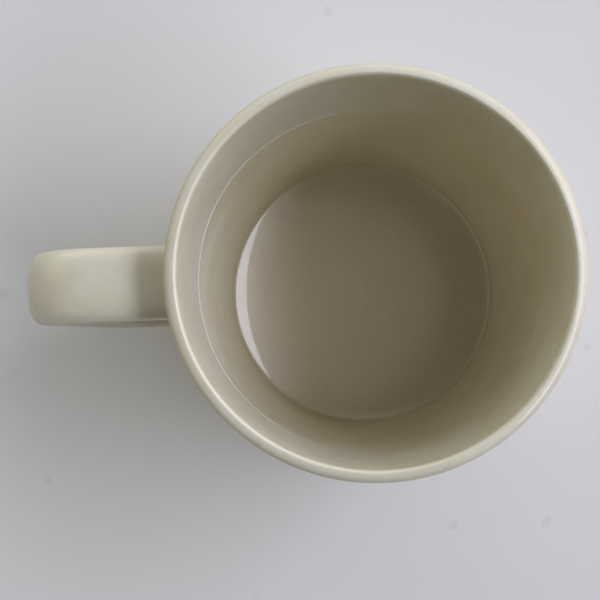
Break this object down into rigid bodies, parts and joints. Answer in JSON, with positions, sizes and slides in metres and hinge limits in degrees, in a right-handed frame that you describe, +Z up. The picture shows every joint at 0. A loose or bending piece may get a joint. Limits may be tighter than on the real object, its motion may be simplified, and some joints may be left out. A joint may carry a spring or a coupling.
{
  "type": "stoneware mug",
  "caption": "Straight-sided glazed stoneware mug with a flat strap handle, a rounded lip and a bare clay foot ring, for hot drinks.",
  "frame": {"origin": "on the table, under the middle of the whole footprint (cup and handle together); the cup's own axis stands at x = 0.01825", "axes": "+Z up along the cup's axis, -X out along the handle, +Y across the strap"},
  "size_m": [0.1244, 0.088, 0.095],
  "materials": {
    "raw_stoneware": "bare fired clay with fine grog and iron specks, matt",
    "luting_slip": "fired slip of the same clay, smooth, matt",
    "inside_glaze": "glossy thin ivory glaze, warm where it is thin",
    "outside_glaze": "glossy cream glaze with sparse iron specks, warmer where it breaks over edges"
  },
  "bodies": {
    "root": {"cup_body": "raw_stoneware", "strap_handle": "raw_stoneware", "upper_handle_slip": "luting_slip", "lower_handle_slip": "luting_slip", "inside_glaze": "inside_glaze", "outside_glaze": "outside_glaze"}
  },
  "joints": []
}
